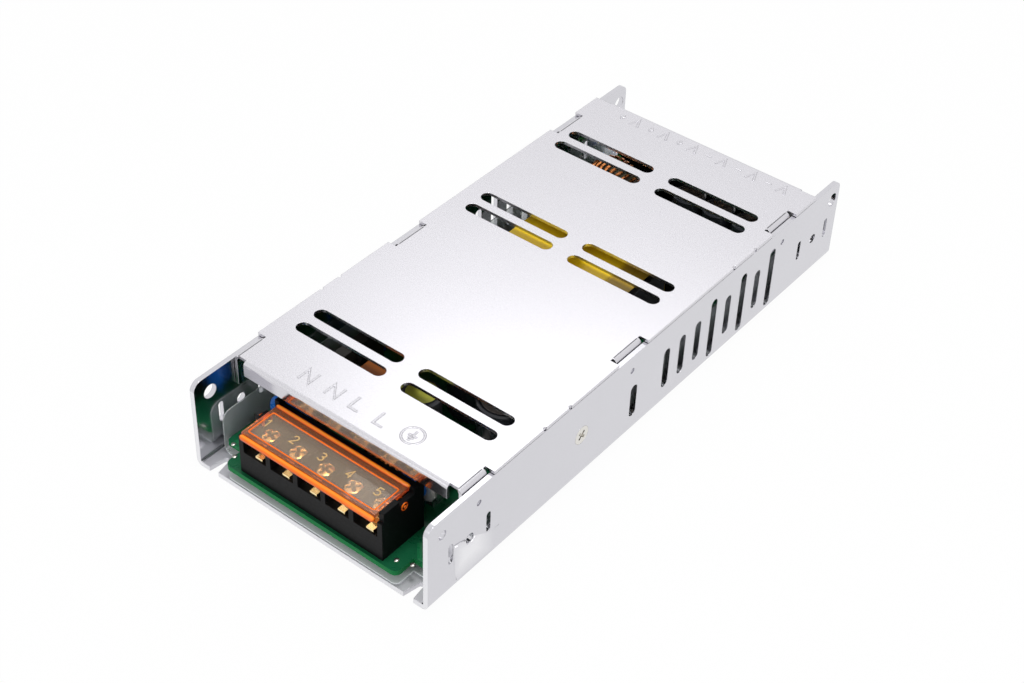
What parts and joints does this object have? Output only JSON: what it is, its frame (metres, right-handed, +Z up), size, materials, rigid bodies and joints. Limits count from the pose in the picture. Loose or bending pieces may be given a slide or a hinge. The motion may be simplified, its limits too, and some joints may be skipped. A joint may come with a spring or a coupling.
{
  "type": "slim switching power supply in a slotted sheet aluminium case",
  "caption": "Slim switching power supply: slotted folded aluminium case, green board with wound parts, terminal blocks at both ends, the AC one under an orange hinged flap",
  "frame": {"origin": "bottom centre of the case", "axes": "+X across the case, +Y along the case from the AC input end to the DC output end, +Z up"},
  "size_m": [0.082, 0.1926, 0.03],
  "materials": {
    "sheet": "milled",
    "cover_sheet": "fine grain",
    "film": "milky clear",
    "board": "solder mask",
    "steel": "plated",
    "bar": "extruded",
    "package": "moulded",
    "block": "moulded",
    "brass": "plated",
    "flap": "clear",
    "ceramic": "glazed",
    "disc_green": "dipped",
    "disc_blue": "dipped",
    "box_orange": "cast box",
    "olive": "sleeve",
    "ferrite": "sintered",
    "copper": "enamelled wire",
    "sleeve": "shrink sleeve",
    "tape": "tape",
    "resistor": "coated",
    "core_yellow": "painted",
    "white_plastic": "moulded",
    "led": "tinted"
  },
  "bodies": {
    "supply": {"chassis": "sheet", "top_cover": "cover_sheet", "insulating_film": "film", "circuit_board": "board", "board_standoffs": "steel", "board_screws": "steel", "side_screw": "steel", "primary_heat_bar": "bar", "power_transistors": "package", "secondary_heat_bar": "bar", "output_rectifiers": "package", "transistor_screws": "steel", "ac_terminal_body": "block", "ac_terminal_plates": "brass", "ac_terminal_clamps": "brass", "ac_terminal_screws": "brass", "dc_terminal_body": "block", "dc_terminal_plates": "brass", "dc_terminal_clamps": "brass", "dc_terminal_screws": "brass", "fuse": "ceramic", "fuse_clips": "steel", "thermistor": "disc_green", "varistor": "disc_blue", "x_capacitor": "box_orange", "y_capacitors": "disc_blue", "filter_choke": "olive", "common_mode_core": "ferrite", "common_mode_winding": "copper", "bridge_rectifier": "package", "bulk_capacitors": "sleeve", "drive_transformer": "tape", "transformer_core": "ferrite", "transformer_bobbin": "block", "transformer_winding": "copper", "transformer_tape": "tape", "control_chip": "package", "optocouplers": "package", "small_capacitors": "sleeve", "power_resistors": "resistor", "output_choke_core": "core_yellow", "output_choke_winding": "copper", "output_capacitors": "sleeve", "voltage_trimmer": "disc_blue", "power_led": "led"},
    "ac_flap": {"ac_terminal_cover": "flap"},
    "trimmer_screw": {"trimmer_rotor": "white_plastic"}
  },
  "joints": [
    {"name": "ac_flap_hinge", "type": "hinge", "parent": "supply", "child": "ac_flap", "pos_m": [0, -0.0864, 0.0196], "axis": [-1, 0, 0], "range_deg": [0, 90]},
    {"name": "trimmer_turn", "type": "hinge", "parent": "supply", "child": "trimmer_screw", "pos_m": [-0.0314, 0.0903, 0.0095], "axis": [0, 0, 1], "range_deg": [-135, 135]}
  ]
}
